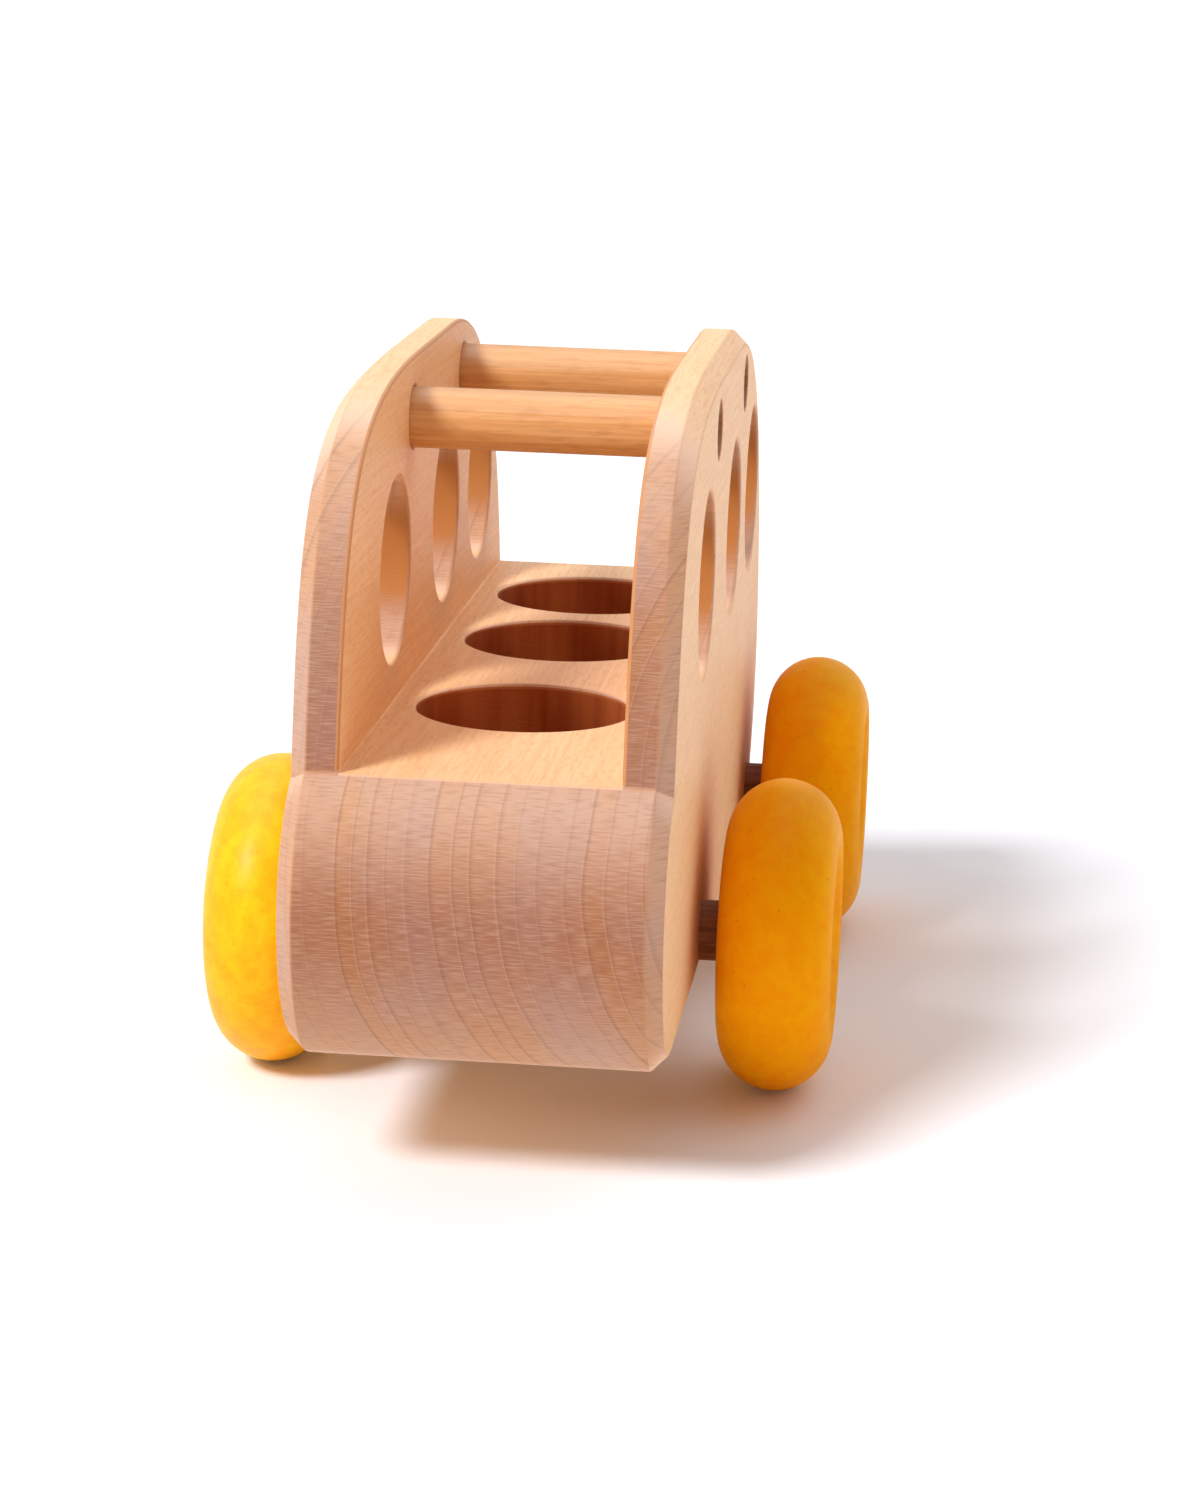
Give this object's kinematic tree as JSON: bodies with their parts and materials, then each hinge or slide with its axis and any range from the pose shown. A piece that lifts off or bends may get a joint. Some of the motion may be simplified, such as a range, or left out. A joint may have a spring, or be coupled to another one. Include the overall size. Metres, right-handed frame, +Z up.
{
  "type": "toy bus",
  "caption": "Wooden push-along toy bus with a block body, open cabin, round peg-doll seats, round windows, roof bars and turning wheelsets.",
  "frame": {"origin": "on the ground under the middle of the whole bus, halfway between the front of the nose and the back of the rear wheels", "axes": "+Z up; -Y the way the nose faces, so +Y runs to the rear; +X the bus's own left side"},
  "size_m": [0.1394, 0.271, 0.1611],
  "materials": {
    "body_wood": "oiled natural wood",
    "bar_wood": "oiled natural wood",
    "axle_wood": "dark bare wood",
    "wheel_wood": "satin golden yellow stain"
  },
  "bodies": {
    "bus_body": {"body": "body_wood", "front_roof_bar": "bar_wood", "rear_roof_bar": "bar_wood"},
    "front_wheelset": {"front_axle": "axle_wood", "front_left_wheel": "wheel_wood", "front_right_wheel": "wheel_wood"},
    "rear_wheelset": {"rear_axle": "axle_wood", "rear_left_wheel": "wheel_wood", "rear_right_wheel": "wheel_wood"}
  },
  "joints": [
    {"name": "front_axle_spin", "type": "hinge", "parent": "bus_body", "child": "front_wheelset", "pos_m": [0, -0.0349, 0.035], "axis": [1, 0, 0], "continuous": true},
    {"name": "rear_axle_spin", "type": "hinge", "parent": "bus_body", "child": "rear_wheelset", "pos_m": [0, 0.1005, 0.035], "axis": [1, 0, 0], "continuous": true}
  ]
}
